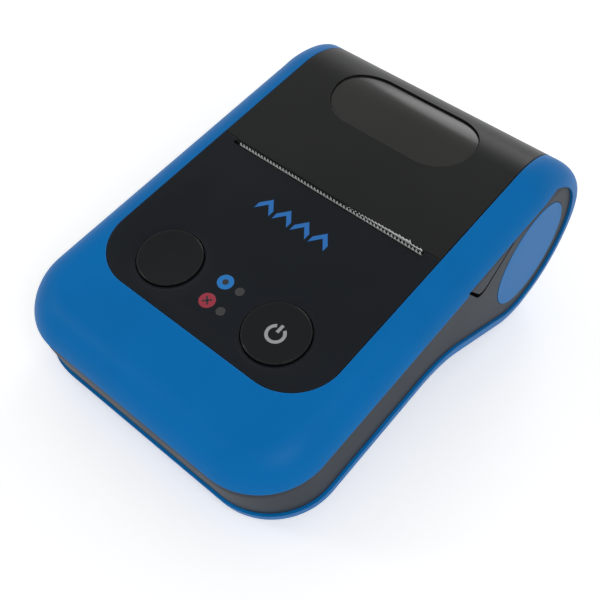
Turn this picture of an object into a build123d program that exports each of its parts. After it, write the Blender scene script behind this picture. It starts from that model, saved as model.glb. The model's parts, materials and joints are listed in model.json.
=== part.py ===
# Portable receipt and label printer for 58 mm thermal paper.
# Millimetres. It is modelled in the frame of its flat top: X to the right, Y to the rear
# with Y = 0 at the paper slot, Z = 0 at the top panel. At the end every piece is tipped
# onto the line between the front feet and the roll lobe, as the printer rests on a table.
import os
from math import atan2, cos, degrees, hypot, pi, radians, sin, sqrt, tan

from build123d import *

# Paper and roll
paper_width = 57.5
paper_thickness = 0.2
roll_radius = 14.0
core_radius = 6.5
core_wall = 1.5
bay_half_width = 29.0
bay_wall = 1.2
bay_gap = 0.5
roll_gap = 0.35
web_bend = 3.0
web_low = -15.2
web_top_left = -1.2
web_top_right = 1.5
deck_gap = 0.5
deck_front = 17.0
deck_half = 34.2
lip_stop = 100.0
cradle_start = 6.5
cradle_stop = 288.0
plate_turn = 294.0
plate_front = 16.5
sensor_turn = 262.0
sensor_size = (6.0, 2.1, 5.0)
sensor_gap = 0.3

# Housing
shell_wall = 2.2
half_width = 41.9
draft_angle = 2.5
nose_y = -70.3
nose_lean = 6.0
lobe_y = 32.4
lobe_radius = 24.3
body_depth = 26.5
corner_radius = 17.5
top_round = 10.0
low_round = 3.2
slope_angle = 32.5
blend_radius = 28.0
nose_fall_start = -49.0
nose_fall_radius = 120.0
least_round = 0.6
hub_radius = 6.5
loft_step = 22.5
shell_split = -14.0
parting_drop = 2.0
parting_gap = 0.1

# Dark waist between the two blue shells
band_top = 7.5
band_top_rear = 6.8
band_step_y = 1.6
band_recess = 0.7
rim_height = 4.9
disc_radius = 15.0
disc_gap = 0.2
disc_proud = 0.35
disc_thickness = 1.6

# Top panel and cover
panel_half = 33.6
panel_front = -48.4
panel_corner = 13.0
panel_gap = 0.2
panel_thickness = 1.6
panel_rear = -0.95
ledge_width = 2.0
ledge_thickness = 1.1
ledge_grip = 1.0
cover_gap = 0.25
cover_front = 1.2
cover_wall = 2.2
window_length = 42.4
window_width = 20.6
window_y = 32.4
window_gap = 0.15
window_sink = 0.5
window_thickness = 1.2
window_ledge = 1.2

# Hinge at the rear of the lobe
hinge_angle = 112.0
hinge_depth = 2.1
knuckle_radius = 2.05
hinge_clear = 2.5
shell_clear = 3.6
hinge_web = 12.0
ear_drop = 1.3
pin_radius = 1.0
pin_clearance = 0.05
cover_knuckle = (12.0, 28.2)
knuckle_gap = 0.4

# Platen and print head
platen_y = 5.9
platen_z = -8.7
platen_radius = 5.0
platen_length = 57.0
platen_round = 0.4
shaft_radius = 1.5
shaft_clearance = 0.05
shaft_end = 0.6
bush_radius = 3.0
bush_gap = 0.05
arm_thickness = 1.3
arm_radius = 4.6
cheek_thickness = 1.2
cheek_gap = 0.2
notch_clearance = 0.3
cheek_rise = 2.0
lane_length = 30.0
paper_lane = 0.7
web_gap = 0.2
head_thickness = 1.0
head_height = 8.5
head_drop = 0.5
sink_thickness = 2.0
sink_height = 10.1
sink_drop = 2.0
groove_count = 3
groove_first = 2.2
groove_pitch = 2.6
groove_width = 1.0
groove_depth = 0.7
wall_front = -7.6
wall_rise = 3.5
spring_x = 9.0
spring_radius = 1.8
spring_wire = 0.3
spring_turns = 3
spring_margin = 4.0
blade_thickness = 0.5
blade_half = 28.75
slot_half = 29.3
blade_top = 0.9
blade_height = 5.0
tooth_pitch = 1.0
tooth_height = 0.8

# Gear train, module 0.5
gear_module = 0.5
platen_teeth = 18
idler_teeth = 24
pinion_teeth = 12
gear_width = 1.2
gear_gap = 0.2
gear_backlash = 0.12
gear_slack = 0.05
tooth_root = 1.25
tooth_tip = 0.9
flank_root = 1.6
flank_tip = 0.5
stud_radius = 1.0
stud_collar = 0.8

# Motor, board, battery
motor_radius = 5.0
motor_length = 16.0
motor_shaft_radius = 0.75
motor_shaft_hole = 1.6
motor_margin = 1.0
pinion_rise = 1.5
chassis_front = -20.0
chassis_rear = 10.5
chassis_floor = 1.0
chassis_step = 6.0
board_top = 8.0
board_thickness = 1.6
board_half = 34.0
board_front = -62.0
board_rear = -9.0
board_corner = 10.0
battery_plan = (46.0, 34.0)
battery_y = -38.0
contact_height = 3.25
battery_round = 4.0
contact_size = (2.0, 0.6)
contact_pitch = 4.0
contact_inset = 4.0
door_size = (52.0, 40.0)
door_thickness = 1.5
door_gap = 0.15
door_ledge = 1.5
door_round = 1.0
grip_count = 4
grip_pitch = 1.6
grip_width = 0.8
grip_half = 7.0
grip_depth = 0.4
port_y = -25.0
port_size = (8.0, 9.0, 3.2)
port_gap = 0.5
port_inset = 0.3
port_wall = 0.4
port_round = 1.2
port_back = 1.5
tongue_size = (5.5, 5.6, 0.7)

# Buttons and marks
button_x = 16.5
button_y = -36.4
button_radius = 8.0
button_gap = 0.25
button_rise = 0.15
dish_radius = 9.7
dish_depth = 0.5
key_round = 0.6
key_dish = 0.35
key_sphere = 90.0
flange_radius = 9.0
flange_thickness = 0.9
flange_gap = 0.3
button_stem = 1.5
switch_size = 6.0
switch_body = 3.1
actuator_radius = 1.7
actuator_height = 0.8
press_gap = 0.6
mark_radius = 2.0
mark_depth = 0.4
mark_proud = 0.05
link_mark = (-1.3, -33.6)
fault_mark = (-1.2, -39.8)
lens_radius = 1.1
lens_proud = 0.1
lens_places = ((3.1, -33.6), (3.2, -40.1))

# Release levers
lever_points = ((2.3, -7.0), (8.1, -15.9), (22.0, -7.42), (22.0, -7.0))
lever_round = 2.8
lever_gap = 0.55
lever_inset = 0.1
lever_depth = 4.0

# Fasteners and feet
screw_head = 2.0
screw_shank = 1.0
screw_length = 12.0
screw_seat = 1.3
screw_inset = 0.3
cross_length = 2.6
cross_width = 0.5
cross_depth = 0.5
boss_radius = 2.7
screw_places = ((33.5, -51.0), (-33.5, -51.0), (36.0, -12.5), (-36.0, -12.5))
foot_radius = 3.6
foot_proud = 0.8
foot_height = 8.0
front_foot = (26.0, -62.6)
rear_foot_x = 26.0

# Light fit between pieces that touch, and a reach past everything for cutting
fit = 0.02
wide = 120.0

lobe_z = -lobe_radius
parting_z = lobe_z - parting_drop
past_rear = lobe_y + 3 * lobe_radius


def side_x(z, inset=0.0):
    """Half width of the housing at height z."""
    return half_width - inset - z * tan(radians(draft_angle))


def lobe_point(angle, radius):
    """Point on a circle about the roll axis; 0 is up and 90 is to the rear."""
    return (lobe_y + radius * sin(radians(angle)), lobe_z + radius * cos(radians(angle)))


hinge_point = lobe_point(hinge_angle, lobe_radius - hinge_depth)


def opening_way(y, z):
    """Unit direction in which a point of the cover first moves as it opens."""
    dy, dz = y - hinge_point[0], z - hinge_point[1]
    size = hypot(dy, dz)
    return (dz / size, -dy / size)


# Places that follow from the sizes: roll, paper path, gear train and the layers across the cheeks
bay_radius = lobe_radius - shell_wall - bay_gap - bay_wall
roll_place = (lobe_y, lobe_z - (bay_radius - roll_radius - roll_gap))
cradle_radius = bay_radius + bay_wall
deck_z = cover_wall + deck_gap
floor_z = -body_depth + shell_wall
board_low = -board_top - board_thickness
battery_low = -body_depth + door_thickness + door_gap
battery_high = board_low - contact_height
switch_top = -board_top + switch_body + actuator_height
head_face = platen_y - platen_radius - paper_lane
way = opening_way(platen_y, platen_z)
idler_reach = gear_module * (platen_teeth + idler_teeth) / 2 + gear_slack
idler_place = (platen_y - way[0] * idler_reach, platen_z - way[1] * idler_reach)
pinion_reach = gear_module * (idler_teeth + pinion_teeth) / 2 + gear_slack
pinion_place = (idler_place[0] - sqrt(pinion_reach ** 2 - pinion_rise ** 2), idler_place[1] + pinion_rise)
toward_platen = atan2(way[1], way[0])
toward_pinion = atan2(pinion_place[1] - idler_place[1], pinion_place[0] - idler_place[0])
cheek_x = bay_half_width + cheek_gap
arm_x = cheek_x + cheek_thickness + cheek_gap
gear_x = arm_x + arm_thickness + gear_gap


def side_face(*edges):
    """Face in the YZ plane from edges drawn as (y, z)."""
    return make_face([Plane.YZ * edge for edge in edges])


def across(face, x0, x1):
    """Extrude a YZ face from x0 to x1."""
    return Pos(x0, 0, 0) * extrude(face, amount=x1 - x0, dir=(1, 0, 0))


def block(x0, x1, y0, y1, z0, z1):
    return Pos((x0 + x1) / 2, (y0 + y1) / 2, (z0 + z1) / 2) * Box(x1 - x0, y1 - y0, z1 - z0)


def rod(x0, x1, place, radius):
    """Cylinder along X from x0 to x1, at place = (y, z)."""
    turn = Pos((x0 + x1) / 2, place[0], place[1]) * Rot(0, 90, 0)
    return turn * Cylinder(radius, x1 - x0)


def post(x, y, z0, z1, radius):
    """Cylinder along Z from z0 to z1."""
    return Pos(x, y, (z0 + z1) / 2) * Cylinder(radius, z1 - z0)


def underside(inset):
    """Hollow from the flat bottom to the slope: centre, radius, end; and the slope's end on the lobe."""
    s, c = sin(radians(slope_angle)), cos(radians(slope_angle))
    radius, hollow, low = lobe_radius - inset, blend_radius + inset, -body_depth + inset
    touch = (lobe_y - radius * s, lobe_z - radius * c)
    meet = touch[0] - (low - touch[1]) * c / s
    reach = hollow * tan(radians(slope_angle / 2))
    return (meet - reach, low - hollow), hollow, (meet + reach * c, low - reach * s), touch


def arc_about(centre, start, end, radius, low_side=False):
    """Arc from start to end about a centre, on the short way or under it."""
    a = atan2(start[1] - centre[1], start[0] - centre[0])
    b = atan2(end[1] - centre[1], end[0] - centre[0])
    if low_side and a > 0:
        a -= 2 * pi
    mid = (a + b) / 2
    return ThreePointArc(start, (centre[0] + radius * cos(mid), centre[1] + radius * sin(mid)), end)


def side_profile(inset):
    """Side view of the body from ahead of the nose to the roll axis."""
    centre, hollow, slope, touch = underside(inset)
    low = -body_depth + inset
    front = nose_y - top_round
    fall = lambda y: -inset - nose_fall_radius + sqrt(nose_fall_radius ** 2 - (y - nose_fall_start) ** 2)
    bottom = (lobe_y, lobe_z - lobe_radius + inset)
    top = (lobe_y, -inset)
    middle = (nose_fall_start + front) / 2
    return side_face(
        Line((front, low), (centre[0], low)),
        arc_about(centre, (centre[0], low), slope, hollow),
        Line(slope, touch),
        arc_about((lobe_y, lobe_z), touch, bottom, lobe_radius - inset, low_side=True),
        Line(bottom, top),
        Line(top, (nose_fall_start, -inset)),
        ThreePointArc((nose_fall_start, -inset), (middle, fall(middle)), (front, fall(front))),
        Line((front, fall(front)), (front, low)),
    )


def drafted_block(inset):
    """Leaning front and drafted sides with round upright corners, higher and longer than the body."""
    high, low = top_round, -2 * lobe_radius - top_round
    left, right = [[(sign * side_x(z, inset), z) for z in (high, low)] for sign in (-1, 1)]
    sides = Plane.XZ * make_face(Polyline(*left, *reversed(right), close=True))
    solid = Pos(0, past_rear, 0) * extrude(sides, amount=past_rear - nose_y + wide / 4, dir=(0, -1, 0))
    nose = [(nose_y + inset - z * tan(radians(nose_lean)), z) for z in (high, low)]
    corners = (nose[0], nose[1], (past_rear + 1, low), (past_rear + 1, high))
    solid &= across(side_face(*[Line(p, q) for p, q in zip(corners, corners[1:] + corners[:1])]), -wide, wide)
    upright = solid.edges().filter_by(lambda e: stands(e) and e.center().Y < 0)
    return fillet(upright, corner_radius - inset)


def lobe_section(angle, inset):
    """Section of the rear lobe at one angle; its shoulder tightens towards the rear."""
    c, s = cos(radians(angle)), sin(radians(angle))
    radius = lobe_radius - inset
    inner = hub_radius
    ease = (1 - cos(radians(2 * min(angle, 90.0)))) / 2
    shoulder = top_round + (low_round - top_round) * ease - inset
    edge = lambda r: side_x(lobe_z + r * c, inset)
    points = ((0, inner), (0, radius), (edge(radius), radius), (edge(inner), inner))
    face = make_face(Polyline(*points, close=True))
    corner = face.vertices().sort_by(lambda v: v.X + v.Y)[-1]
    plane = Plane(origin=(0, lobe_y, lobe_z), x_dir=(1, 0, 0), z_dir=(0, -c, s))
    return plane * fillet(corner, max(shoulder, least_round))


def envelope(inset):
    """Closed outer form of the housing, moved inwards by inset."""
    prism = drafted_block(inset)
    body = prism & across(side_profile(inset), -wide, wide)
    high = body.edges().filter_by(lambda e: on_rim(e) and e.center().Z > -body_depth / 4)
    body = fillet(high, max(top_round - inset, least_round))
    low = body.edges().filter_by(lambda e: on_rim(e) and e.center().Z < -body_depth / 2)
    body = fillet(low, max(low_round - inset, least_round))
    steps = int(180 / loft_step)
    half = loft([lobe_section(i * loft_step, inset) for i in range(steps + 1)])
    core = rod(-wide, wide, (lobe_y, lobe_z), hub_radius + 1) & prism
    core &= block(-wide, wide, lobe_y - hub_radius / 2, lobe_y + wide, -wide, wide)
    return body + half + mirror(half, about=Plane.YZ) + core


def stands(edge):
    """True for an edge that is higher than it is long or wide."""
    size = edge.bounding_box().size
    return size.Z > max(size.X, size.Y)


def on_rim(edge):
    """True for an edge round the top or the bottom of the body, ahead of the roll axis."""
    full_width = 2 * half_width - corner_radius
    return not stands(edge) and edge.bounding_box().size.X < full_width and edge.center().Y < lobe_y - 1


def waist(grow):
    """Block of the dark waist: between the blue shells, and round under the lobe."""
    inset = rim_height - grow
    body = across(side_profile(inset), -wide, wide)
    body += rod(-wide, wide, (lobe_y, lobe_z), lobe_radius - inset)
    body -= block(-wide, wide, -wide, wide, -band_top_rear + grow, wide)
    return body - block(-wide, wide, -wide, band_step_y - grow, -band_top + grow, wide)


def panel_outline(shrink):
    """Plan view of the sunk top: round front corners, straight sides past the rear."""
    w, front = panel_half - shrink, panel_front + shrink
    points = ((-w, past_rear), (-w, front), (w, front), (w, past_rear))
    rounded = FilletPolyline(*points, radius=panel_corner - shrink)
    return make_face(rounded + Line(points[-1], points[0]))


def panel_prism(shrink, z0, z1):
    return Pos(0, 0, z0) * extrude(panel_outline(shrink), amount=z1 - z0, dir=(0, 0, 1))


def top_shell(skin):
    zone = block(-wide, wide, -wide, wide, shell_split, wide)
    zone += block(-wide, wide, lobe_y, wide, parting_z + parting_gap / 2, wide)
    shell = (skin - waist(0)) & zone
    shell -= panel_prism(0, -wide, wide)
    seat = -panel_thickness - fit
    ledge = panel_prism(-ledge_grip, seat - ledge_thickness, seat) - panel_prism(ledge_width, -wide, wide)
    ledge &= block(-wide, wide, -wide, panel_rear, -wide, wide)
    return shell + ledge


def hinge_ear(x0, x1, side):
    """Barrel on the hinge axis with a web to the lobe wall; side is 1 below and -1 above.

    The lower web lies deeper, so that the edge of the open cover swings over it.
    """
    barrel = rod(x0, x1, hinge_point, knuckle_radius)
    a, b = sorted((hinge_angle, hinge_angle + side * hinge_web))
    outer = lobe_radius - (ear_drop if side > 0 else 0)
    web = across(lobe_ring(lobe_radius - shell_wall, outer, a, b), x0, x1)
    return barrel + web


def lobe_ring(inner, outer, a, b):
    """Ring sector about the roll axis between two angles."""
    mid = (a + b) / 2
    return side_face(
        Line(lobe_point(a, inner), lobe_point(a, outer)),
        ThreePointArc(lobe_point(a, outer), lobe_point(mid, outer), lobe_point(b, outer)),
        Line(lobe_point(b, outer), lobe_point(b, inner)),
        ThreePointArc(lobe_point(b, inner), lobe_point(mid, inner), lobe_point(a, inner)),
    )


def bottom_shell(skin, recessed):
    zone = block(-wide, wide, -wide, wide, -wide, shell_split)
    zone -= block(-wide, wide, lobe_y, wide, parting_z - parting_gap / 2, wide)
    shell = (skin - waist(0)) & zone
    tail = across(lobe_ring(lobe_radius - 2 * shell_wall, lobe_radius + shell_wall, 0, hinge_angle),
                  -panel_half, panel_half)
    shell -= tail + rod(-panel_half, panel_half, hinge_point, shell_clear)
    inner, outer = cover_knuckle[0] - knuckle_gap, cover_knuckle[1] + knuckle_gap
    ends = panel_half - cover_gap
    for x0, x1 in ((-ends, -outer), (-inner, inner), (outer, ends)):
        shell += hinge_ear(x0, x1, 1)
    shell -= rod(-ends, ends, hinge_point, pin_radius + fit)
    dx, dy = door_size[0] / 2, door_size[1] / 2
    shell -= block(-dx, dx, battery_y - dy, battery_y + dy, -wide, -body_depth + door_thickness)
    dx, dy = dx - door_ledge, dy - door_ledge
    shell -= block(-dx, dx, battery_y - dy, battery_y + dy, -wide, -body_depth + 2 * shell_wall)
    for x, y in screw_places:
        shell += post(x, y, -wide, board_low - fit, boss_radius) & recessed
    for x, y in screw_places:
        shell -= post(x, y, -wide, -body_depth + screw_seat, screw_head + door_gap)
        shell -= post(x, y, -wide, -body_depth + screw_length + fit, screw_shank + fit)
    return shell


def mid_frame(env_out, env_in, disc_floor):
    frame = (env_out - env_in) & waist(-parting_gap)
    pocket = rod(-wide, wide, (lobe_y, lobe_z), disc_radius + disc_gap) - disc_floor
    frame -= pocket
    opening = lever_face(lever_gap)
    frame -= across(opening, 0, wide) + across(opening, -wide, 0)
    slot_y, slot_z = port_size[1] / 2 + port_gap, port_size[2] + port_gap
    frame -= block(-wide, 0, port_y - slot_y, port_y + slot_y, board_low - slot_z, board_low + port_gap)
    return frame


def lever_face(grow):
    """Side view of the release lever, grown by grow for its opening."""
    outline = make_face(Polyline(*lever_points, close=True))
    outline = fillet(outline.vertices().sort_by(Axis.Y)[0], lever_round)
    if grow:
        outline = offset(outline, amount=grow, kind=Kind.ARC)
    return Plane.YZ * outline


def release_lever(sign, env_out, env_in):
    reach = (0, wide) if sign > 0 else (-wide, 0)
    return across(lever_face(0), *reach) & (env_out - env_in)


def side_disc(sign, env_out, env_in):
    reach = (0, wide) if sign > 0 else (-wide, 0)
    return rod(*reach, (lobe_y, lobe_z), disc_radius) & (env_out - env_in)


def control_panel():
    plate = panel_prism(panel_gap, -panel_thickness, 0)
    plate &= block(-wide, wide, -wide, cover_front - cover_gap, -wide, wide)
    plate -= block(-slot_half, slot_half, panel_rear, wide, -wide, wide)
    for x in (-button_x, button_x):
        cone = Pos(x, button_y, -dish_depth / 2) * Cone(button_radius + button_gap, dish_radius, dish_depth)
        plate -= cone + post(x, button_y, -wide, wide, button_radius + button_gap)
    for x, y in (link_mark, fault_mark):
        plate -= post(x, y, -mark_depth, wide, mark_radius + fit)
    for x, y in lens_places:
        plate -= post(x, y, -wide, wide, lens_radius + fit)
    return plate


def status_mark(place):
    return post(*place, -mark_depth, mark_proud, mark_radius)


def led_lenses():
    return Compound([post(x, y, -panel_thickness, lens_proud, lens_radius) for x, y in lens_places])


def push_button(x):
    """Round key with a dished top, a flange under the panel and a stem."""
    flange_z = -panel_thickness - flange_gap
    key = post(x, button_y, flange_z, button_rise, button_radius)
    key = fillet(key.edges().sort_by(Axis.Z)[-1], key_round)
    key -= Pos(x, button_y, key_sphere - key_dish) * Sphere(key_sphere)
    key += post(x, button_y, flange_z - flange_thickness, flange_z, flange_radius)
    return key + post(x, button_y, switch_top + press_gap, flange_z, button_stem)


def tact_switches():
    half = switch_size / 2
    parts = []
    for x in (-button_x, button_x):
        body = block(x - half, x + half, button_y - half, button_y + half,
                     -board_top, -board_top + switch_body)
        parts.append(body + post(x, button_y, -board_top, switch_top, actuator_radius))
    return Compound(parts)


def tear_blade():
    """Steel strip whose upper edge is a row of teeth across the paper."""
    count = int(2 * blade_half / tooth_pitch)
    root, low = blade_top - tooth_height, blade_top - blade_height
    points = [(-blade_half, low)]
    for i in range(count):
        x = -blade_half + i * tooth_pitch
        points += [(x, root), (x + tooth_pitch / 2, blade_top)]
    points += [(-blade_half + count * tooth_pitch, root), (blade_half, low)]
    face = Plane.XZ * make_face(Polyline(*points, close=True))
    back = panel_rear + cheek_gap + blade_thickness
    return Pos(0, back, 0) * extrude(face, amount=blade_thickness, dir=(0, -1, 0))


def print_head():
    z0 = platen_z - head_height / 2 - head_drop
    return block(-blade_half, blade_half, head_face - head_thickness, head_face, z0, z0 + head_height)


def head_heat_sink():
    """Aluminium bar behind the head, with cooling grooves along its front."""
    back = head_face - head_thickness
    front = back - sink_thickness
    z0 = platen_z - head_height / 2 - sink_drop
    bar = block(-blade_half, blade_half, front, back, z0, z0 + sink_height)
    for i in range(groove_count):
        z = z0 + groove_first + groove_pitch * i
        bar -= block(-blade_half, blade_half, front, front + groove_depth, z, z + groove_width)
    return bar


def head_springs():
    """Two coil springs that press the head against the platen."""
    y0 = wall_front + cheek_thickness + spring_wire
    y1 = head_face - head_thickness - sink_thickness - spring_wire
    pitch = (y1 - y0) / spring_turns
    coils = []
    for x in (-spring_x, spring_x):
        path = Helix(pitch, y1 - y0, spring_radius, center=(x, y0, platen_z), direction=(0, 1, 0))
        section = Plane(origin=path @ 0, z_dir=path % 0) * Circle(spring_wire)
        coils.append(sweep(section, path=path))
    return Compound([solid for coil in coils for solid in coil.solids()])


def mechanism_frame():
    """Folded steel chassis: base, two cheeks, and the wall behind the head springs."""
    frame = block(-cheek_x, cheek_x, chassis_front, chassis_rear - chassis_step,
                  floor_z, floor_z + chassis_floor)
    top = platen_z + bush_radius + cheek_rise
    step_z = pinion_place[1] + motor_radius + motor_margin
    for sign in (-1, 1):
        x0, x1 = sorted((sign * cheek_x, sign * (cheek_x + cheek_thickness)))
        cheek = block(x0, x1, chassis_front, chassis_rear, floor_z, top)
        cheek -= block(x0, x1, chassis_front - 1, wall_front, step_z, top + 1)
        r = bush_radius + notch_clearance
        lane = Pos(0, lane_length / 2, 0) * Box(x1 - x0, lane_length, 2 * r)
        lane = Pos((x0 + x1) / 2, platen_y, platen_z) * Rot(degrees(toward_platen), 0, 0) * lane
        frame += cheek - rod(x0, x1, (platen_y, platen_z), r) - lane
    wall_back = wall_front + cheek_thickness
    frame += block(-cheek_x, spring_x + spring_margin, wall_front, wall_back, floor_z, platen_z + wall_rise)
    x0 = cheek_x + cheek_thickness
    frame += rod(x0, gear_x - fit, idler_place, stud_radius + stud_collar)
    frame += rod(x0, gear_x + gear_width, idler_place, stud_radius)
    return frame - rod(cheek_x, x0, pinion_place, motor_shaft_hole)


def spur_gear(teeth, place, bore, phase):
    """Spur gear with straight-flanked teeth; a tooth points along phase."""
    pitch_r = gear_module * teeth / 2
    root, tip = pitch_r - tooth_root * gear_module, pitch_r + tooth_tip * gear_module
    step = 2 * pi / teeth
    half = step / 4 - gear_backlash / (2 * pitch_r)
    corners = ((root, -flank_root), (tip, -flank_tip), (tip, flank_tip), (root, flank_root))
    points = []
    for i in range(teeth):
        turn = phase + i * step
        for r, w in corners:
            points.append((place[0] + r * cos(turn + w * half), place[1] + r * sin(turn + w * half)))
    face = side_face(*[Line(p, q) for p, q in zip(points, points[1:] + points[:1])])
    return across(face, gear_x, gear_x + gear_width) - rod(gear_x, gear_x + gear_width, place, bore)


def idler_phase():
    """Phase that puts a gap of the idler at the platen gear's tooth."""
    return toward_platen + pi / idler_teeth


def pinion_phase():
    """Phase that meshes the pinion with the idler as the idler stands."""
    idler_step, pinion_step = 2 * pi / idler_teeth, 2 * pi / pinion_teeth
    offset_turn = (toward_pinion - idler_phase()) / idler_step
    lag = offset_turn - round(offset_turn)
    return toward_pinion + pi + pinion_step * (0.5 + lag)


def platen_shaft():
    return rod(-arm_x - arm_thickness - shaft_end, gear_x + gear_width, (platen_y, platen_z), shaft_radius)


def platen_roller():
    tube = rod(-platen_length / 2, platen_length / 2, (platen_y, platen_z), platen_radius)
    tube = fillet(tube.edges(), platen_round)
    return tube - rod(-wide, wide, (platen_y, platen_z), shaft_radius + fit)


def platen_bushes():
    bushes = []
    for sign in (-1, 1):
        x0, x1 = sorted((sign * (cheek_x + bush_gap), sign * (arm_x + arm_thickness)))
        bush = rod(x0, x1, (platen_y, platen_z), bush_radius)
        bushes.append(bush - rod(x0 - 1, x1 + 1, (platen_y, platen_z), shaft_radius + shaft_clearance))
    return Compound(bushes)


def cover_skin(a, b, x0, x1):
    """Layer of the cover between insets a and b: flat top, then round the lobe."""
    layer = across(lobe_ring(lobe_radius - b, lobe_radius - a, 0, hinge_angle), x0, x1)
    return layer + block(x0, x1, cover_front, lobe_y + fit, -b, -a)


def window_prism(shrink):
    length, width = window_length - 2 * shrink, window_width - 2 * shrink
    outline = Pos(0, window_y, -wide / 2) * SlotOverall(length, width)
    return extrude(outline, amount=wide, dir=(0, 0, 1))


def paper_cover():
    half = panel_half - cover_gap
    cover = cover_skin(0, cover_wall, -half, half)
    cover -= rod(-half, half, hinge_point, hinge_clear)
    cover &= across(side_face(*[Line(p, q) for p, q in (
        ((-wide, wide), (wide, wide)), ((wide, wide), lobe_point(hinge_angle, wide)),
        (lobe_point(hinge_angle, wide), lobe_point(hinge_angle, 1)),
        (lobe_point(hinge_angle, 1), (-wide, lobe_z)), ((-wide, lobe_z), (-wide, wide)))]), -half, half)
    for sign in (-1, 1):
        x0, x1 = sorted((sign * cover_knuckle[0], sign * cover_knuckle[1]))
        cover += hinge_ear(x0, x1, -1)
        x0, x1 = sorted((sign * arm_x, sign * (arm_x + arm_thickness)))
        arm = rod(x0, x1, (platen_y, platen_z), arm_radius)
        arm += block(x0, x1, platen_y - arm_radius, platen_y + arm_radius, platen_z, -cover_wall / 2)
        cover += arm
    cover -= rod(-wide, wide, (platen_y, platen_z), bush_radius + fit) & block(
        -wide, wide, -wide, wide, -wide, -cover_wall)
    cover -= rod(-wide, wide, hinge_point, pin_radius + pin_clearance)
    cover -= window_prism(0) & cover_skin(-1, window_sink + window_thickness + fit, -half, half)
    return cover - window_prism(window_ledge)


def cover_window():
    skin = cover_skin(window_sink, window_sink + window_thickness, -panel_half, panel_half)
    return skin & window_prism(window_gap)


def hinge_pin():
    end = panel_half - cover_gap
    return rod(-end, end, hinge_point, pin_radius)


def roll_cradle():
    """Half-round bay for the roll, with side plates and a lip along the cover's edges."""
    x1 = bay_half_width + bay_wall
    cradle = across(lobe_ring(bay_radius, cradle_radius, hinge_angle + cradle_start, cradle_stop), -x1, x1)
    for sign in (-1, 1):
        a, b = sorted((sign * bay_half_width, sign * x1))
        plate = rod(a, b, (lobe_y, lobe_z), cradle_radius)
        start = lobe_point(plate_turn, cradle_radius - fit)
        upper = side_face(*[Line(p, q) for p, q in (
            (start, (plate_front, -deck_z)), ((plate_front, -deck_z), (lobe_y, -deck_z)),
            ((lobe_y, -deck_z), (lobe_y, lobe_z)), ((lobe_y, lobe_z), start))])
        plate += across(upper, a, b)
        a, b = sorted((sign * x1, sign * deck_half))
        plate += across(lobe_ring(bay_radius, cradle_radius, 0, lip_stop), a, b)
        plate += block(a, b, deck_front, lobe_y + fit, -deck_z - bay_wall, -deck_z)
        cradle += plate
    return cradle - rod(-wide, wide, hinge_point, hinge_clear)


def paper_roll():
    half = paper_width / 2
    return rod(-half, half, roll_place, roll_radius) - rod(-half, half, roll_place, core_radius + fit)


def roll_core():
    half = paper_width / 2
    return rod(-half, half, roll_place, core_radius) - rod(-half, half, roll_place, core_radius - core_wall)


def paper_web():
    """Paper from the top of the roll, under the platen and up past the blade."""
    half = paper_width / 2
    y = head_face + web_gap
    end_z = roll_place[1] + roll_radius + roll_gap
    top = 2 * web_top_right
    t = paper_thickness
    outer = FilletPolyline((y, top), (y, web_low), (lobe_y, end_z), radius=web_bend)
    inner = FilletPolyline((y + t, top), (y + t, web_low + t), (lobe_y, end_z + t), radius=web_bend - t)
    face = side_face(outer, inner, Line((y, top), (y + t, top)), Line((lobe_y, end_z), (lobe_y, end_z + t)))
    slope = degrees(atan2(web_top_right - web_top_left, paper_width))
    above = Pos(0, 0, (web_top_left + web_top_right) / 2) * Rot(0, -slope, 0) * Pos(0, 0, wide / 2)
    return across(face, -half, half) - above * Box(wide, wide, wide)


def paper_sensor():
    y, z = lobe_point(sensor_turn, cradle_radius)
    w, d, h = sensor_size
    return block(-w / 2, w / 2, y - sensor_gap - d, y - sensor_gap, z - h / 2, z + h / 2)


def stepper_motor():
    can = rod(cheek_x - motor_length, cheek_x, pinion_place, motor_radius)
    return can - rod(cheek_x - motor_length / 2, cheek_x, pinion_place, motor_shaft_radius + shaft_clearance)


def motor_shaft():
    start = cheek_x - motor_length / 2 + gear_gap
    return rod(start, gear_x + gear_width, pinion_place, motor_shaft_radius)


def main_board():
    board = block(-board_half, board_half, board_front, board_rear, board_low, -board_top)
    corners = board.edges().filter_by(Axis.Z).filter_by(lambda e: e.center().Y < battery_y)
    return fillet(corners, board_corner)


def charge_socket():
    """Small metal socket with a tongue, its mouth near the left side's surface."""
    length, width, height = port_size
    top = board_low - fit
    middle = top - height / 2
    face = -side_x(top, band_recess) + port_inset
    shell = port_block(face, face + length, width, height, middle)
    shell = fillet(shell.edges().filter_by(Axis.X), port_round)
    back = face + length - port_back
    mouth = port_block(face - 1, back, width - 2 * port_wall, height - 2 * port_wall, middle)
    mouth = fillet(mouth.edges().filter_by(Axis.X), port_round - port_wall)
    return shell - mouth + port_block(back + fit - tongue_size[0], back + fit, *tongue_size[1:], middle)


def port_block(x0, x1, width, height, middle):
    return block(x0, x1, port_y - width / 2, port_y + width / 2, middle - height / 2, middle + height / 2)


def battery_pack():
    w, d = battery_plan
    pack = block(-w / 2, w / 2, battery_y - d / 2, battery_y + d / 2, battery_low, battery_high)
    return fillet(pack.edges().filter_by(Axis.Y), battery_round)


def battery_door():
    dx, dy = door_size[0] / 2 - door_gap, door_size[1] / 2 - door_gap
    door = block(-dx, dx, battery_y - dy, battery_y + dy, -body_depth, -body_depth + door_thickness - fit)
    door = fillet(door.edges().filter_by(Axis.Z), door_round)
    for i in range(grip_count):
        y = battery_y + dy - contact_inset - grip_pitch * i
        door -= block(-grip_half, grip_half, y - grip_width / 2, y + grip_width / 2,
                      -wide, -body_depth + grip_depth)
    return door


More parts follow.
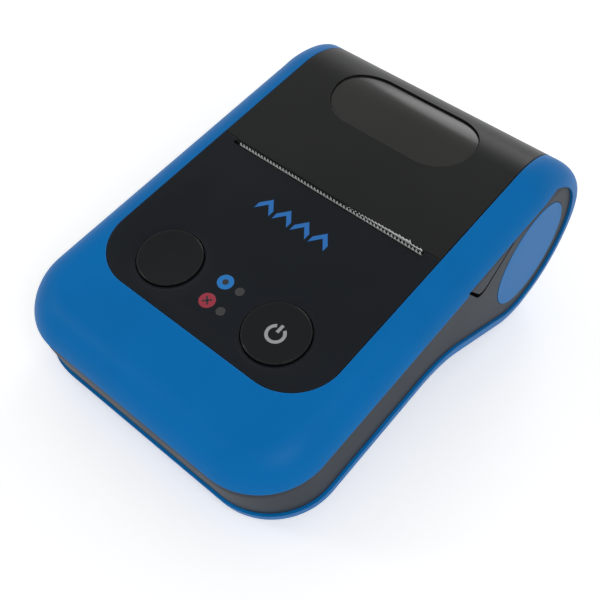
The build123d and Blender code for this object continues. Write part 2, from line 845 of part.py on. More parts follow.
def battery_contacts():
    """Three sprung tabs between the board and the battery."""
    y = battery_y + battery_plan[1] / 2 - contact_inset
    dx, dy = contact_size[0] / 2, contact_size[1] / 2
    places = (-contact_pitch, 0, contact_pitch)
    tabs = [block(x - dx, x + dx, y - dy, y + dy, battery_high + fit, board_low - fit) for x in places]
    return Compound(tabs)


def case_screws():
    z0 = -body_depth + screw_inset
    z1 = -body_depth + screw_seat - fit
    long, thin = cross_length / 2, cross_width / 2
    screws = []
    for x, y in screw_places:
        head = post(x, y, z0, z1, screw_head)
        head -= block(x - long, x + long, y - thin, y + thin, -wide, z0 + cross_depth)
        head -= block(x - thin, x + thin, y - long, y + long, -wide, z0 + cross_depth)
        screws.append(head + post(x, y, z1, -body_depth + screw_length, screw_shank))
    return Compound(screws)


def rest_tilt():
    """Angle that brings the front lower edge and the lobe down onto one plane."""
    edge_y = nose_y + body_depth * tan(radians(nose_lean)) + low_round
    edge_z = -body_depth + low_round
    drop = lobe_radius + foot_proud - low_round - foot_proud / 2
    dy, dz = lobe_y - edge_y, lobe_z - edge_z
    return degrees(atan2(dz, dy)) + degrees(atan2(drop, sqrt(dy ** 2 + dz ** 2 - drop ** 2)))


tilt = rest_tilt()
tip = Rot(tilt, 0, 0)


def rest_height():
    """Height of the table plane in the tipped frame, before the shift."""
    t = radians(tilt)
    return lobe_y * sin(t) + lobe_z * cos(t) - lobe_radius - foot_proud


def rubber_feet(env_out):
    """Four pads cut level with the table, two at the front and two under the lobe."""
    base = rest_height()
    t = radians(tilt)
    rear_y = lobe_y * cos(t) - lobe_z * sin(t)
    front_y = front_foot[1] * cos(t) + body_depth * sin(t)
    tipped = tip * env_out
    pads = []
    for x, y in ((front_foot[0], front_y), (rear_foot_x, rear_y)):
        for side in (-x, x):
            pads.append(post(side, y, base, base + foot_height, foot_radius) - tipped)
    return Compound([solid for pad in pads for solid in pad.solids()])


def build():
    outer = envelope(0)
    inner = envelope(shell_wall)
    band_out, band_in = envelope(band_recess), envelope(band_recess + shell_wall)
    disc_out, disc_in = envelope(-disc_proud), envelope(disc_thickness - disc_proud)
    lever_out, lever_in = envelope(lever_inset), envelope(lever_inset + lever_depth)
    skin = outer - inner
    tipped = {
        "top_shell": top_shell(skin),
        "bottom_shell": bottom_shell(skin, band_out),
        "mid_frame": mid_frame(band_out, band_in, disc_in),
        "control_panel": control_panel(),
        "tear_blade": tear_blade(),
        "print_head": print_head(),
        "head_heat_sink": head_heat_sink(),
        "head_springs": head_springs(),
        "mechanism_frame": mechanism_frame(),
        "stepper_motor": stepper_motor(),
        "motor_shaft": motor_shaft(),
        "motor_pinion": spur_gear(pinion_teeth, pinion_place, motor_shaft_radius + fit, pinion_phase()),
        "idler_gear": spur_gear(idler_teeth, idler_place, stud_radius + pin_clearance, idler_phase()),
        "platen_gear": spur_gear(platen_teeth, (platen_y, platen_z), shaft_radius + fit, toward_platen + pi),
        "platen_shaft": platen_shaft(),
        "platen_roller": platen_roller(),
        "platen_bushes": platen_bushes(),
        "paper_cover": paper_cover(),
        "cover_window": cover_window(),
        "hinge_pin": hinge_pin(),
        "roll_cradle": roll_cradle(),
        "paper_roll": paper_roll(),
        "roll_core": roll_core(),
        "paper_web": paper_web(),
        "paper_sensor": paper_sensor(),
        "main_board": main_board(),
        "tact_switches": tact_switches(),
        "charge_socket": charge_socket(),
        "battery_pack": battery_pack(),
        "battery_contacts": battery_contacts(),
        "battery_door": battery_door(),
        "feed_button": push_button(-button_x),
        "power_button": push_button(button_x),
        "link_mark": status_mark(link_mark),
        "fault_mark": status_mark(fault_mark),
        "led_lenses": led_lenses(),
        "side_disc_left": side_disc(-1, disc_out, disc_in),
        "side_disc_right": side_disc(1, disc_out, disc_in),
        "release_lever_left": release_lever(-1, lever_out, lever_in),
        "release_lever_right": release_lever(1, lever_out, lever_in),
        "case_screws": case_screws(),
    }
    placed = {name: tip * shape for name, shape in tipped.items()}
    placed["rubber_feet"] = rubber_feet(outer)
    return placed


def main():
    os.makedirs("parts", exist_ok=True)
    placed = build()
    whole = Compound([solid for shape in placed.values() for solid in shape.solids()]).bounding_box()
    shift = Pos(0, -whole.center().Y, -whole.min.Z)
    for name, shape in placed.items():
        export_step(shift * shape, f"parts/{name}.step")
    print("tilt", round(tilt, 3), "shift", [round(v, 4) for v in shift.position])
    print("size", [round(v, 2) for v in whole.size])


if __name__ == "__main__":
    main()
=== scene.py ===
import json
import random
from math import atan2, cos, hypot, radians, sin

import bmesh
import bpy
from mathutils import Matrix, Vector


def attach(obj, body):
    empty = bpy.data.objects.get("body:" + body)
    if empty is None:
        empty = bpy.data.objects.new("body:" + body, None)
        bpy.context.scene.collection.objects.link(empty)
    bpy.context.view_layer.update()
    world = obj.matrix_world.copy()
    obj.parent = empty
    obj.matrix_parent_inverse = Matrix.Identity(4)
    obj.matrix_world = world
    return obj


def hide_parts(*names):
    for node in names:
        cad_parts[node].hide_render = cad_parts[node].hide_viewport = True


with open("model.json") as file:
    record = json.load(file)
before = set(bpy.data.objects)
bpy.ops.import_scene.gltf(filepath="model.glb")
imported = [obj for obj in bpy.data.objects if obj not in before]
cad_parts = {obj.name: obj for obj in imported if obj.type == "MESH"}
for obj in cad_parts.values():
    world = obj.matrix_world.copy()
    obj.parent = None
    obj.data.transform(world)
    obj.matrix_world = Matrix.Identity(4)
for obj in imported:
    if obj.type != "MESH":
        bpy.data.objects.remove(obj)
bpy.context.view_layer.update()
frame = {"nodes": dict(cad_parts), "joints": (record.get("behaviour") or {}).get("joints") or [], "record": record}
nodes = frame["nodes"]
joints = {joint["name"]: joint for joint in frame["joints"]}
print("frame loaded:", len(nodes), "nodes")


def mm(*values):
    return Vector([value / 1000 for value in values])


# The flat top is tipped; its own X, Y and Z start at the paper slot, as the keys and marks are measured.
# The keys press square to it, and the platen's shaft lies at platenSeat in it.
platenSeat = mm(0, 5.9, -8.7)
pressWay = Vector(joints["power_press"]["axis"])
topTurn = Matrix.Rotation(atan2(pressWay.y, -pressWay.z), 4, "X")
topOrigin = Vector(joints["platen_spin"]["pos_m"]) - topTurn @ platenSeat
topPlane = Matrix.Translation(topOrigin) @ topTurn


# Helpers for meshes and shader nodes
def finishMesh(bm, name, material, place=None, smooth=True):
    if place is not None:
        bmesh.ops.transform(bm, matrix=place, verts=bm.verts)
    mesh = bpy.data.meshes.new(name)
    for face in bm.faces:
        face.smooth = smooth
    bm.to_mesh(mesh)
    bm.free()
    mesh.materials.append(material)
    piece = bpy.data.objects.new(name, mesh)
    bpy.context.scene.collection.objects.link(piece)
    return piece


def movedVerts(result):
    return [item for item in result["geom"] if isinstance(item, bmesh.types.BMVert)]


def addNode(tree, kind, **settings):
    node = tree.nodes.new("ShaderNode" + kind)
    for key, value in settings.items():
        setattr(node, key, value)
    return node


def setInputs(node, values):
    for socket, value in values.items():
        node.inputs[socket].default_value = value


def startMaterial(name):
    material = bpy.data.materials.new(name)
    material.use_nodes = True
    tree = material.node_tree
    return material, tree, tree.nodes["Principled BSDF"]


# Camera fitted to the photograph, in millimetres and degrees, with the clip in metres
view = {
    "place": (87.61, -127.58, 175.03),
    "turn": (42.122, -4.626, 40.059),
    "lens": 50.48,
    "sensor": 36,
    "clip": (0.01, 100),
}

# Lamps, floor and world, in metres; lamps face the aim, and white is what the camera and reflections see
studio = {
    "aim": (0, 0, 0.02),
    "world": 0.42,
    "white": 1,
    "key": {"place": (0.55, -0.35, 0.7), "size": 0.5, "watts": 2.6},
    "fill": {"place": (-0.6, -0.5, 0.5), "size": 0.2, "watts": 0.8},
    "rim": {"place": (-0.25, 0.85, 0.5), "size": 0.4, "watts": 1.3},
}
floorPlan = {"size": 40, "colour": (0.9, 0.905, 0.91), "roughness": 0.6, "glow": 0.4}


def makeCamera():
    data = bpy.data.cameras.new("camera")
    data.lens = view["lens"]
    data.sensor_width = view["sensor"]
    data.clip_start, data.clip_end = view["clip"]
    camera = bpy.data.objects.new("camera", data)
    camera.location = mm(*view["place"])
    camera.rotation_euler = [radians(angle) for angle in view["turn"]]
    bpy.context.scene.collection.objects.link(camera)
    bpy.context.scene.camera = camera


def makeLamp(name, lamp):
    data = bpy.data.lights.new(name, "AREA")
    data.energy = lamp["watts"]
    data.shape = "DISK"
    data.size = lamp["size"]
    light = bpy.data.objects.new(name, data)
    light.location = lamp["place"]
    aim = Vector(studio["aim"]) - Vector(lamp["place"])
    light.rotation_euler = aim.to_track_quat("-Z", "Y").to_euler()
    bpy.context.scene.collection.objects.link(light)


def seenRays(tree):
    # 1 for what the camera sees at first hand, mirrored or through glass, and 0 for light on the object
    path = addNode(tree, "LightPath")
    total = path.outputs["Is Camera Ray"]
    for ray in ("Is Glossy Ray", "Is Transmission Ray"):
        both = addNode(tree, "Math", use_clamp=True)
        tree.links.new(total, both.inputs[0])
        tree.links.new(path.outputs[ray], both.inputs[1])
        total = both.outputs[0]
    return total


def makeWorld():
    world = bpy.data.worlds.new("studioWorld")
    world.use_nodes = True
    tree = world.node_tree
    tree.nodes.clear()
    mix = addNode(tree, "MixShader")
    tree.links.new(seenRays(tree), mix.inputs["Fac"])
    for slot, strength in ((1, studio["world"]), (2, studio["white"])):
        background = addNode(tree, "Background")
        setInputs(background, {"Color": (1, 1, 1, 1), "Strength": strength})
        tree.links.new(background.outputs[0], mix.inputs[slot])
    tree.links.new(mix.outputs[0], addNode(tree, "OutputWorld").inputs["Surface"])
    bpy.context.scene.world = world


def makeFloor():
    bm = bmesh.new()
    bmesh.ops.create_grid(bm, x_segments=1, y_segments=1, size=floorPlan["size"] / 2)
    surface, tree, shader = startMaterial("paleFloor")
    setInputs(shader, {
        "Base Color": (*floorPlan["colour"], 1),
        "Roughness": floorPlan["roughness"],
        "Emission Color": (1, 1, 1, 1),
    })
    glow = addNode(tree, "Math", operation="MULTIPLY")
    glow.inputs[1].default_value = floorPlan["glow"]
    tree.links.new(seenRays(tree), glow.inputs[0])
    tree.links.new(glow.outputs[0], shader.inputs["Emission Strength"])
    floor = finishMesh(bm, "floor", surface)


def makeStudio():
    bpy.context.scene.view_settings.view_transform = "Standard"
    makeWorld()
    for name in ("key", "fill", "rim"):
        makeLamp(name + "Lamp", studio[name])
    makeFloor()


# Shared shader groups. Handled plastic has a slow cloud in tone and gloss, a fine grain and rubbed edges.
# Brushed metal has fine lines along X in tone, gloss and height.
handledLook = {
    "cloudScale": 38,
    "cloudDetail": 4,
    "cloudRange": (0.3, 0.7),
    "grainDetail": 2,
    "edgeWidth": 0.0003,
    "edgeLean": (0.995, 0.85),
    "rubbedColour": (0.7, 0.72, 0.75, 1),
    "patch": 0.07,
}
brushedLook = {"stretch": (0.04, 1, 1), "detail": 3, "shade": (0.85, 1.1), "roughness": 0.2}
bevelSamples = 4


def newGroup(name, numbers):
    group = bpy.data.node_groups.new(name, "ShaderNodeTree")
    newSocket = group.interface.new_socket
    for way in ("INPUT", "OUTPUT"):
        newSocket("Colour", in_out=way, socket_type="NodeSocketColor")
        newSocket("Roughness", in_out=way, socket_type="NodeSocketFloat")
    for label in numbers:
        newSocket(label, in_out="INPUT", socket_type="NodeSocketFloat")
    newSocket("Height", in_out="OUTPUT", socket_type="NodeSocketFloat")
    return group, group.nodes.new("NodeGroupInput"), group.nodes.new("NodeGroupOutput")


def mathNode(group, operation, first, second, **settings):
    node = addNode(group, "Math", operation=operation, **settings)
    group.links.new(first, node.inputs[0])
    group.links.new(second, node.inputs[1])
    return node.outputs[0]


def rangeNode(group, source, ends):
    node = addNode(group, "MapRange")
    setInputs(node, ends)
    group.links.new(source, node.inputs["Value"])
    return node.outputs["Result"]


def makeHandledGroup():
    group, entry, result = newGroup("handledPlastic", ("Grain Size", "Tone", "Wear"))
    link = group.links.new
    coords = addNode(group, "TexCoord").outputs["Object"]
    cloudNode = addNode(group, "TexNoise", noise_dimensions="3D")
    setInputs(cloudNode, {"Scale": handledLook["cloudScale"], "Detail": handledLook["cloudDetail"]})
    link(coords, cloudNode.inputs["Vector"])
    cloud = cloudNode.outputs["Fac"]
    grain = addNode(group, "TexNoise", noise_dimensions="3D")
    setInputs(grain, {"Detail": handledLook["grainDetail"]})
    link(coords, grain.inputs["Vector"])
    link(entry.outputs["Grain Size"], grain.inputs["Scale"])

    # edge mask: how far the rounded normal leans from the face's own
    rounded = addNode(group, "Bevel", samples=bevelSamples)
    setInputs(rounded, {"Radius": handledLook["edgeWidth"]})
    lean = addNode(group, "VectorMath", operation="DOT_PRODUCT")
    link(rounded.outputs["Normal"], lean.inputs[0])
    link(addNode(group, "NewGeometry").outputs["Normal"], lean.inputs[1])
    square, leant = handledLook["edgeLean"]
    edge = rangeNode(group, lean.outputs["Value"], {"From Min": square, "From Max": leant})
    rubbed = mathNode(group, "MULTIPLY", edge, cloud)
    worn = mathNode(group, "MULTIPLY", rubbed, entry.outputs["Wear"])

    # colour: the cloud moves it up and down round the plain colour, and a rubbed edge is lighter
    low, high = handledLook["cloudRange"]
    shade = rangeNode(group, cloud, {"From Min": low, "From Max": high, "To Min": -1})
    toned = addNode(group, "Math", operation="MULTIPLY_ADD")
    toned.inputs[2].default_value = 1
    link(shade, toned.inputs[0])
    link(entry.outputs["Tone"], toned.inputs[1])
    hue = addNode(group, "HueSaturation")
    link(entry.outputs["Colour"], hue.inputs["Color"])
    link(toned.outputs[0], hue.inputs["Value"])
    light = addNode(group, "Mix", data_type="RGBA")
    setInputs(light, {"B": handledLook["rubbedColour"]})
    link(worn, light.inputs["Factor"])
    link(hue.outputs["Color"], light.inputs["A"])
    link(light.outputs["Result"], result.inputs["Colour"])

    # roughness: patchy from handling, smoother on rubbed edges
    patch = rangeNode(group, cloud, {"To Min": -handledLook["patch"], "To Max": handledLook["patch"]})
    rough = mathNode(group, "ADD", entry.outputs["Roughness"], patch)
    link(mathNode(group, "SUBTRACT", rough, worn, use_clamp=True), result.inputs["Roughness"])
    link(grain.outputs["Fac"], result.inputs["Height"])
    return group


def makeBrushedGroup():
    group, entry, result = newGroup("brushedMetal", ("Line Size",))
    link = group.links.new
    stretch = addNode(group, "Mapping")
    setInputs(stretch, {"Scale": brushedLook["stretch"]})
    link(addNode(group, "TexCoord").outputs["Object"], stretch.inputs["Vector"])
    lines = addNode(group, "TexNoise", noise_dimensions="3D")
    setInputs(lines, {"Detail": brushedLook["detail"]})
    link(stretch.outputs["Vector"], lines.inputs["Vector"])
    link(entry.outputs["Line Size"], lines.inputs["Scale"])
    dark, bright = brushedLook["shade"]
    hue = addNode(group, "HueSaturation")
    link(entry.outputs["Colour"], hue.inputs["Color"])
    link(rangeNode(group, lines.outputs["Fac"], {"To Min": dark, "To Max": bright}), hue.inputs["Value"])
    link(hue.outputs["Color"], result.inputs["Colour"])
    rough = addNode(group, "Math", operation="MULTIPLY_ADD")
    rough.inputs[1].default_value = brushedLook["roughness"]
    link(lines.outputs["Fac"], rough.inputs[0])
    link(entry.outputs["Roughness"], rough.inputs[2])
    link(rough.outputs[0], result.inputs["Roughness"])
    link(lines.outputs["Fac"], result.inputs["Height"])
    return group


# All finishes but the brushed metals: each takes what it doesn't name from plain
plain = {
    "roughness": 0.4, "tone": 0.05, "wear": 0.1, "grain": 3000, "bump": 0.05,
    "bumpDepth": 0.0002, "softEdge": 0.0002, "specular": 0.4,
}
glossyTop = {"tone": 0.08, "wear": 0.06, "grain": 4200, "bump": 0.08, "specular": 0.1}
blueMoulding = {"wear": 0.12, "grain": 3800, "bump": 0.06}
smoothMark = {"tone": 0.03, "wear": 0.05, "bump": 0.02}
ink = {"roughness": 0.45, "tone": 0.04, "wear": 0, "grain": 5000, "bump": 0.03}
finishes = {
    "blueShell": {**blueMoulding, "colour": (0.001, 0.17, 0.5), "roughness": 0.42, "specular": 0.08},
    "blueTrim": {**blueMoulding, "colour": (0.008, 0.185, 0.52), "specular": 0.05},
    "greyWaist": {
        "colour": (0.021, 0.0285, 0.039), "roughness": 0.5, "tone": 0.08, "grain": 4200, "bump": 0.1,
        "specular": 0.15,
    },
    "blackPanel": {**glossyTop, "colour": (0.0066, 0.009, 0.0125), "roughness": 0.38},
    # painted sheen: the cover's black is lighter than the panel's to stand in for the reflection on it
    "coverBlackSheen": {**glossyTop, "colour": (0.014, 0.0147, 0.0145), "roughness": 0.36},
    "satinBlade": {"colour": (0.7, 0.73, 0.72), "roughness": 0.42, "wear": 0.05},
    "keyBlack": {
        "colour": (0.003, 0.0045, 0.005), "roughness": 0.2, "grain": 4200, "bump": 0.02, "specular": 0.15,
        "softEdge": 0.0006,
    },
    "smokeWindow": {
        "colour": (0.017, 0.0168, 0.0155), "roughness": 0.2, "tone": 0.12, "wear": 0.02, "grain": 1200,
        "bump": 0.01, "specular": 0.22,
    },
    "innerBlack": {
        "colour": (0.022, 0.022, 0.025), "roughness": 0.5, "tone": 0.08, "wear": 0.15, "bump": 0.08,
    },
    "headCeramic": {"colour": (0.42, 0.36, 0.26), "roughness": 0.25, "tone": 0.04, "bump": 0.02},
    "gearNylon": {"colour": (0.78, 0.76, 0.7), "roughness": 0.38, "tone": 0.04, "wear": 0.05, "bump": 0.04},
    "platenRubber": {
        "colour": (0.018, 0.018, 0.02), "roughness": 0.75, "tone": 0.1, "grain": 5200, "bump": 0.2,
    },
    "footRubber": {
        "colour": (0.014, 0.014, 0.015), "roughness": 0.8, "tone": 0.1, "wear": 0.2, "grain": 3600,
        "bump": 0.25,
    },
    "paperWhite": {
        "colour": (0.84, 0.85, 0.85), "roughness": 0.65, "tone": 0.02, "wear": 0.02, "grain": 6000,
    },
    "coreGrey": {"colour": (0.45, 0.45, 0.43), "roughness": 0.5},
    "boardGreen": {"colour": (0.01, 0.1, 0.045), "roughness": 0.3, "tone": 0.1, "grain": 1600},
    # the switches' own black, also used as painted shade on the gap walls and behind the blade's teeth
    "switchBlackAndShade": {"colour": (0.006, 0.006, 0.006), "specular": 0.03},
    "batteryWrap": {
        "colour": (0.03, 0.035, 0.05), "roughness": 0.28, "tone": 0.1, "grain": 800, "bump": 0.1,
    },
    "markBlue": {**smoothMark, "colour": (0.006, 0.19, 0.56)},
    "markRed": {**smoothMark, "colour": (0.34, 0.02, 0.045)},
    "lensGrey": {"colour": (0.026, 0.026, 0.028), "roughness": 0.3, "wear": 0.05, "bump": 0.02},
    "inkGrey": {**ink, "colour": (0.36, 0.37, 0.38)},
    "inkDark": {**ink, "colour": (0.01, 0.01, 0.014)},
    "inkBlue": {**ink, "colour": (0.008, 0.16, 0.52), "roughness": 0.4},
}

# Brushed metals: each takes what it doesn't name from bare
bare = {"bump": 0.05, "bumpDepth": 0.0001, "softEdge": 0.0001}
metals = {
    "springSteel": {"colour": (0.55, 0.56, 0.57), "roughness": 0.22, "lines": 2200},
    "sheetSteel": {"colour": (0.46, 0.47, 0.5), "roughness": 0.3, "lines": 1400, "bump": 0.08},
    "screwSteel": {"colour": (0.22, 0.22, 0.24), "roughness": 0.3, "lines": 1800},
    "sinkAluminium": {"colour": (0.66, 0.67, 0.68), "roughness": 0.28, "lines": 900, "bump": 0.08},
}


def makeMaterial(name, finish, group, values):
    material, tree, shader = startMaterial(name)
    look = addNode(tree, "Group", node_tree=group)
    setInputs(look, {"Colour": (*finish["colour"], 1), "Roughness": finish["roughness"], **values})
    tree.links.new(look.outputs["Colour"], shader.inputs["Base Color"])
    tree.links.new(look.outputs["Roughness"], shader.inputs["Roughness"])
    rounded = addNode(tree, "Bevel", samples=bevelSamples)
    setInputs(rounded, {"Radius": finish["softEdge"]})
    bump = addNode(tree, "Bump")
    setInputs(bump, {"Strength": finish["bump"], "Distance": finish["bumpDepth"]})
    tree.links.new(look.outputs["Height"], bump.inputs["Height"])
    tree.links.new(rounded.outputs["Normal"], bump.inputs["Normal"])
    tree.links.new(bump.outputs["Normal"], shader.inputs["Normal"])
    return material, shader


def plasticMaterial(name, finish, group):
    values = {"Tone": finish["tone"], "Wear": finish["wear"], "Grain Size": finish["grain"]}
    material, shader = makeMaterial(name, finish, group, values)
    setInputs(shader, {"Specular IOR Level": finish["specular"]})
    return material


def metalMaterial(name, finish, group):
    material, shader = makeMaterial(name, finish, group, {"Line Size": finish["lines"]})
    setInputs(shader, {"Metallic": 1})
    return material


handledGroup = makeHandledGroup()
brushedGroup = makeBrushedGroup()
materials = {name: plasticMaterial(name, {**plain, **own}, handledGroup) for name, own in finishes.items()}
materials.update({name: metalMaterial(name, {**bare, **own}, brushedGroup) for name, own in metals.items()})
print("materials made:", len(materials))


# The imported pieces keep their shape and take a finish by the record's slot
slotFinish = {
    "blue_shell": "blueShell",
    "blue_trim": "blueTrim",
    "grey_waist": "greyWaist",
    "black_panel": "blackPanel",
    "key_black": "keyBlack",
    "smoke_window": "smokeWindow",
    "inner_black": "innerBlack",
    "spring_steel": "springSteel",
    "sheet_steel": "sheetSteel",
    "screw_steel": "screwSteel",
    "head_ceramic": "headCeramic",
    "sink_aluminium": "sinkAluminium",
    "gear_nylon": "gearNylon",
    "platen_rubber": "platenRubber",
    "foot_rubber": "footRubber",
    "paper_white": "paperWhite",
    "core_grey": "coreGrey",
    "board_green": "boardGreen",
    "switch_black": "switchBlackAndShade",
    "battery_wrap": "batteryWrap",
    "mark_blue": "markBlue",
    "mark_red": "markRed",
    "lens_grey": "lensGrey",
}
nodeFinish = {"paper_cover": "coverBlackSheen"}  # painted sheen: a lighter copy of the panel's black, for the reflection the cover catches
smoothing = {"weld": 0.000002, "angle": 32}

# Gaps whose walls take a near-black finish as painted shade, for the shadow inside them, in the flat top's
# millimetres: a ring round each side cap and a box round each lever. A wall lies further out than outside, and its
# normal points sideways by no more than sideways.
shadedSeams = {
    "cap": {"y": 32.4, "z": -24.3, "radius": 15.2, "reach": 0.3},
    "lever": {"y": (1.0, 24.0), "z": (-18.0, -6.5)},
    "outside": 34.0,
    "sideways": 0.5,
}


def smoothEdges(piece):
    split = piece.modifiers.new("creases", "EDGE_SPLIT")
    split.split_angle = radians(smoothing["angle"])
    split.use_edge_sharp = False


def inShadedSeam(spot):
    ring, (nearY, farY), (lowZ, highZ) = shadedSeams["cap"], shadedSeams["lever"]["y"], shadedSeams["lever"]["z"]
    onRing = abs(hypot(spot.y - ring["y"], spot.z - ring["z"]) - ring["radius"]) < ring["reach"]
    return onRing or (nearY < spot.y < farY and lowZ < spot.z < highZ)


# painted shade: the mid frame's gap walls get a near-black finish that stands in for the shadow inside the gaps
def paintSeamShade(node):
    node.data.materials.append(materials["switchBlackAndShade"])
    toTop = topPlane.inverted()
    for face in node.data.polygons:
        spot = toTop @ face.center * 1000
        shadedWall = abs(spot.x) >= shadedSeams["outside"] and abs(face.normal.x) <= shadedSeams["sideways"]
        if shadedWall and inShadedSeam(spot):
            face.material_index = 1


def dressNodes():
    for part in frame["record"]["subparts"]:
        node = nodes[part["node"]]
        finish = nodeFinish.get(part["node"], slotFinish[part["material_slot"]])
        node.data.materials.clear()
        node.data.materials.append(materials[finish])
        # the mid frame's gap walls take painted shade
        if part["node"] == "mid_frame":
            paintSeamShade(node)
        for face in node.data.polygons:
            face.use_smooth = True
        weld = node.modifiers.new("weld", "WELD")
        weld.merge_threshold = smoothing["weld"]
        smoothEdges(node)


dressNodes()
print("packed pieces dressed")


# Side caps and release levers: as packed, with the outer face sunk to lie flush with the waist.
# A lever is also trimmed about its rear top corner, for a wider gap below and in front of it.
cap = {"sink": 0.95, "finish": "blueTrim", "slot": "blue_trim"}
lever = {
    "sink": 0.6, "finish": "greyWaist", "slot": "grey_waist",
    "trim": (0.988, 0.91), "hold": (22.0, -7.0),
}
flush = {
    "side_disc_left": {**cap, "name": "sideDiscLeft", "side": -1, "body": "base"},
    "side_disc_right": {**cap, "name": "sideDiscRight", "side": 1, "body": "base"},
    "release_lever_left": {**lever, "name": "leverLeft", "side": -1, "body": "lever_left"},
    "release_lever_right": {**lever, "name": "leverRight", "side": 1, "body": "lever_right"},
}
outerLean = 0.6  # a face whose normal points outwards by more than this is an outer face


def flushPiece(node, settings):
    bm = bmesh.new()
    bm.from_mesh(nodes[node].data)
    bmesh.ops.remove_doubles(bm, verts=bm.verts, dist=smoothing["weld"])
    bm.normal_update()
    outward = Vector((settings["side"], 0, 0))
    outer = {vert for face in bm.faces if face.normal.dot(outward) > outerLean for vert in face.verts}
    bmesh.ops.translate(bm, vec=outward * -settings["sink"] / 1000, verts=list(outer))
    if "trim" in settings:
        hold = Matrix.Translation(mm(0, *settings["hold"]))
        trim = Matrix.Diagonal((1, *settings["trim"], 1))
        matrix = topPlane @ hold @ trim @ hold.inverted() @ topPlane.inverted()
        bmesh.ops.transform(bm, matrix=matrix, verts=bm.verts)
    piece = finishMesh(bm, settings["name"], materials[settings["finish"]])
    smoothEdges(piece)
    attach(piece, settings["body"])
    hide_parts(node)


for node, settings in flush.items():
    flushPiece(node, settings)
print("side caps and levers let in")


# Paper slot: dark sill, toothed blade, a near-black bar behind its teeth as painted shade in the gaps between
# them, cover lip and the torn end of the paper.
# Each is an upright strip from left to right, with its front face at front.
slotSill = {"left": -29.2, "right": 29.2, "front": -0.93, "thick": 0.45, "low": -3.6, "top": -0.02}
# painted shade: a near-black bar behind the teeth that darkens the gaps between them
slotShadeBar = {"left": -29.2, "right": 29.2, "front": -0.17, "thick": 0.32, "low": -3.6, "top": 0.5}
coverLip = {"left": -29.2, "right": 29.2, "front": 0.82, "thick": 0.5, "low": -1.6, "top": -0.05}
blade = {
    "left": -27.3, "right": 29.2, "front": -0.38, "thick": 0.16, "low": -4.1,
    "pitch": 1.0, "root": -0.3, "tip": 1.0,
}

# The torn edge slopes up to the right and is at height where x is meets, near the roots of the teeth. It has
# a nick for each tooth, a little stray, three spikes by the tooth's number, and a drop near its end, and it
# always stays above low by least.
paperEnd = {
    "left": -28.75, "right": 28.75, "front": 0.4, "thick": 0.2, "low": -3.0, "least": 0.2,
    "pitch": 1.0, "meets": 5.0, "height": -0.4, "rise": 0.072, "nick": 0.18, "stray": 0.1,
    "spikes": {51: 0.2, 54: 0.45, 57: 0.25}, "dropFrom": 55, "drop": 0.75, "seed": 7,
}


def edgedStrip(bm, strip, steps, topAt):
    grid = bmesh.ops.create_grid(bm, x_segments=steps, y_segments=1, size=0.5)["verts"]
    for vert in grid:
        i = round((vert.co.x + 0.5) * steps)
        x = strip["left"] + (strip["right"] - strip["left"]) * i / steps
        vert.co = mm(x, strip["front"], topAt(i, x) if vert.co.y > 0 else strip["low"])
    thick = bmesh.ops.extrude_face_region(bm, geom=bm.faces[:])
    bmesh.ops.translate(bm, vec=mm(0, strip["thick"], 0), verts=movedVerts(thick))
    bmesh.ops.recalc_face_normals(bm, faces=bm.faces)


def plainStrip(name, strip, finish, body):
    bm = bmesh.new()
    edgedStrip(bm, strip, 1, lambda i, x: strip["top"])
    piece = finishMesh(bm, name, materials[finish], topPlane, smooth=False)
    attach(piece, body)


def tearTeeth():
    bm = bmesh.new()
    steps = 2 * int((blade["right"] - blade["left"]) / blade["pitch"])
    edgedStrip(bm, blade, steps, lambda i, x: blade["tip"] if i % 2 else blade["root"])
    piece = finishMesh(bm, "tearTeeth", materials["satinBlade"], topPlane, smooth=False)
    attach(piece, "base")
    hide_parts("tear_blade")


def lowerWeb():
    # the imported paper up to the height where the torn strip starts
    web = bmesh.new()
    web.from_mesh(nodes["paper_web"].data)
    bmesh.ops.remove_doubles(web, verts=web.verts, dist=smoothing["weld"])
    split = bmesh.ops.bisect_plane(
        web, geom=[*web.verts, *web.edges, *web.faces], plane_co=topPlane @ mm(0, 0, paperEnd["low"]),
        plane_no=topPlane.to_3x3() @ Vector((0, 0, 1)), clear_outer=True,
    )
    rim = [item for item in split["geom_cut"] if isinstance(item, bmesh.types.BMEdge)]
    bmesh.ops.holes_fill(web, edges=rim)
    mesh = bpy.data.meshes.new("webRun")
    web.to_mesh(mesh)
    web.free()
    return mesh


def tornPaper():
    tear = random.Random(paperEnd["seed"])
    steps = 2 * round((paperEnd["right"] - paperEnd["left"]) / paperEnd["pitch"])

    def tornTop(i, x):
        tooth, onTip = divmod(i, 2)
        height = paperEnd["height"] + paperEnd["rise"] * (x - paperEnd["meets"])
        height += paperEnd["nick"] if onTip else -paperEnd["nick"]
        height += tear.uniform(-paperEnd["stray"], paperEnd["stray"])
        if tooth >= paperEnd["dropFrom"]:
            height -= paperEnd["drop"]
        if onTip:
            height += paperEnd["spikes"].get(tooth, 0)
        return max(height, paperEnd["low"] + paperEnd["least"])

    bm = bmesh.new()
    edgedStrip(bm, paperEnd, steps, tornTop)
    bmesh.ops.transform(bm, matrix=topPlane, verts=bm.verts)
    run = lowerWeb()
    bm.from_mesh(run)
    bpy.data.meshes.remove(run)
    piece = finishMesh(bm, "paperWeb", materials["paperWhite"])
    smoothEdges(piece)
    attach(piece, "base")
    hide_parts("paper_web")


tearTeeth()
plainStrip("slotSill", slotSill, "switchBlackAndShade", "base")
plainStrip("slotShadeBar", slotShadeBar, "switchBlackAndShade", "base")
# the cover lip takes the cover's painted sheen too
plainStrip("coverLip", coverLip, "coverBlackSheen", "cover")
tornPaper()
print("paper slot made")


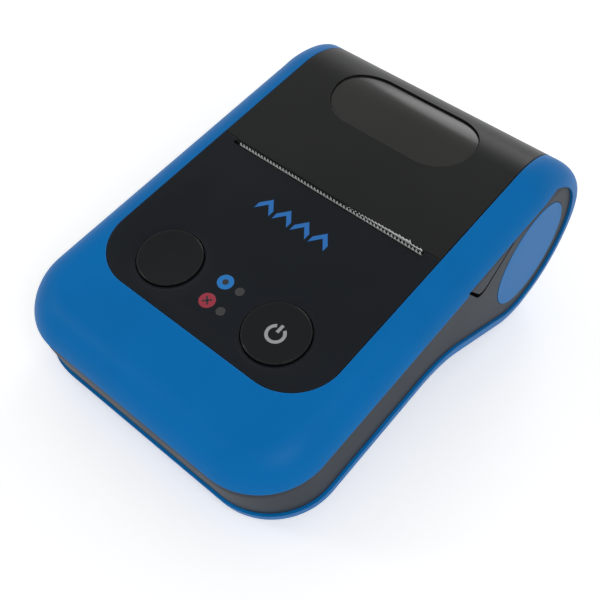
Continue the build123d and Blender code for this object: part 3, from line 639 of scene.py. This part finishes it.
# Printed marks: thin flat inlays on the panel, its two discs and the power key
inkThickness = 0.04
markWeld = 0.000001
powerSign = {
    "place": (16.5, -36.7), "low": -0.335, "outer": 2.5, "inner": 1.68, "gap": 62, "steps": 40,
    "barWidth": 0.82, "barReach": (0.45, 2.65),
}
crossSign = {"place": (-1.2, -39.8), "low": 0.05, "arm": 2.3, "width": 0.42}
dotSign = {"place": (-1.3, -33.6), "low": 0.05, "radius": 0.75, "steps": 32}
arrowSign = {"first": (-8.4, -12.0), "count": 4, "pitch": 5.6, "half": (2.3, 2.8), "stroke": 1.9}


def inlay(bm, points, low):
    face = bm.faces.new([bm.verts.new(mm(x, y, low)) for x, y in points])
    solid = bmesh.ops.extrude_face_region(bm, geom=[face])
    bmesh.ops.translate(bm, vec=mm(0, 0, inkThickness), verts=movedVerts(solid))


def closeMesh(bm):
    bmesh.ops.remove_doubles(bm, verts=bm.verts, dist=markWeld)
    bmesh.ops.recalc_face_normals(bm, faces=bm.faces)


def powerMark():
    x, y = powerSign["place"]
    low = powerSign["low"]
    high = low + inkThickness
    inner, outer = powerSign["inner"], powerSign["outer"]
    bm = bmesh.new()
    start = radians(90 + powerSign["gap"] / 2)
    ring = []
    for radius, z in ((inner, low), (outer, low), (outer, high), (inner, high)):
        ring.append(bm.verts.new(mm(x + radius * cos(start), y + radius * sin(start), z)))
    section = bm.faces.new(ring)
    bmesh.ops.spin(
        bm, geom=[section], cent=mm(x, y, 0), axis=(0, 0, 1), angle=radians(360 - powerSign["gap"]),
        steps=powerSign["steps"], use_merge=False,
    )
    half = powerSign["barWidth"] / 2
    near, far = powerSign["barReach"]
    inlay(bm, [(x - half, y + near), (x + half, y + near), (x + half, y + far), (x - half, y + far)], low)
    closeMesh(bm)
    piece = finishMesh(bm, "powerMark", materials["inkGrey"], topPlane, smooth=False)
    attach(piece, "power_key")


def crossMark():
    bm = bmesh.new()
    for turn in (45, -45):
        bar = bmesh.ops.create_cube(bm, size=1)["verts"]
        bmesh.ops.scale(bm, vec=mm(crossSign["arm"], crossSign["width"], inkThickness), verts=bar)
        bmesh.ops.rotate(bm, matrix=Matrix.Rotation(radians(turn), 3, "Z"), verts=bar)
    bmesh.ops.translate(bm, vec=mm(*crossSign["place"], crossSign["low"] + inkThickness / 2), verts=bm.verts)
    piece = finishMesh(bm, "crossMark", materials["inkDark"], topPlane, smooth=False)
    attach(piece, "base")


def dotMark():
    bm = bmesh.new()
    radius = dotSign["radius"] / 1000
    bmesh.ops.create_cone(
        bm, cap_ends=True, segments=dotSign["steps"], radius1=radius, radius2=radius,
        depth=inkThickness / 1000,
    )
    bmesh.ops.translate(bm, vec=mm(*dotSign["place"], dotSign["low"] + inkThickness / 2), verts=bm.verts)
    piece = finishMesh(bm, "dotMark", materials["inkDark"], topPlane, smooth=False)
    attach(piece, "base")


def feedArrows():
    dx, dy = arrowSign["half"]
    stroke = arrowSign["stroke"]
    firstX, y = arrowSign["first"]
    foot, peak = y - dy / 2, y + dy / 2
    bm = bmesh.new()
    for i in range(arrowSign["count"]):
        x = firstX + i * arrowSign["pitch"]
        under = [(x - dx, foot), (x, peak), (x + dx, foot)]
        over = [(px, py + stroke) for px, py in reversed(under)]
        inlay(bm, under + over, 0)
    closeMesh(bm)
    piece = finishMesh(bm, "feedArrows", materials["inkBlue"], topPlane, smooth=False)
    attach(piece, "base")


powerMark()
crossMark()
dotMark()
feedArrows()
print("marks made")

makeCamera()
makeStudio()
print("stage ready")
